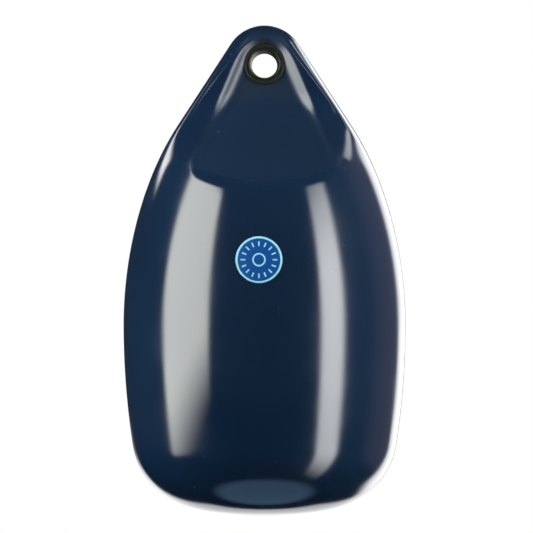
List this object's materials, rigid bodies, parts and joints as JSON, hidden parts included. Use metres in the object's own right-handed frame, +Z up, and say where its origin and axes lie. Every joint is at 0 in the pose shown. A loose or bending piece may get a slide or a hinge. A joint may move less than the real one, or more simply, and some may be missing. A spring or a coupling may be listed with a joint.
{
  "type": "teardrop boat fender",
  "caption": "Teardrop boat fender: a navy inflated body that tapers up to a scooped lug with a black rope eyelet, a round blue label and a valve plug at the back.",
  "frame": {"origin": "centre of the rope eye, halfway between the eyelet's two faces", "axes": "+Z up along the fender's length through the rope eye, -Y out of the front with the label, +X to the right as seen from the front"},
  "size_m": [0.2296, 0.2296, 0.4006],
  "materials": {
    "body_pvc": "glossy moulded navy PVC with fine scuffs",
    "eyelet_plastic": "satin black moulded plastic",
    "label_vinyl": "blue vinyl with a thin pale ring",
    "valve_rubber": "matt black rubber"
  },
  "bodies": {
    "root": {"body": "body_pvc", "eyelet": "eyelet_plastic", "label": "label_vinyl", "inflation_valve": "valve_rubber"}
  },
  "joints": []
}
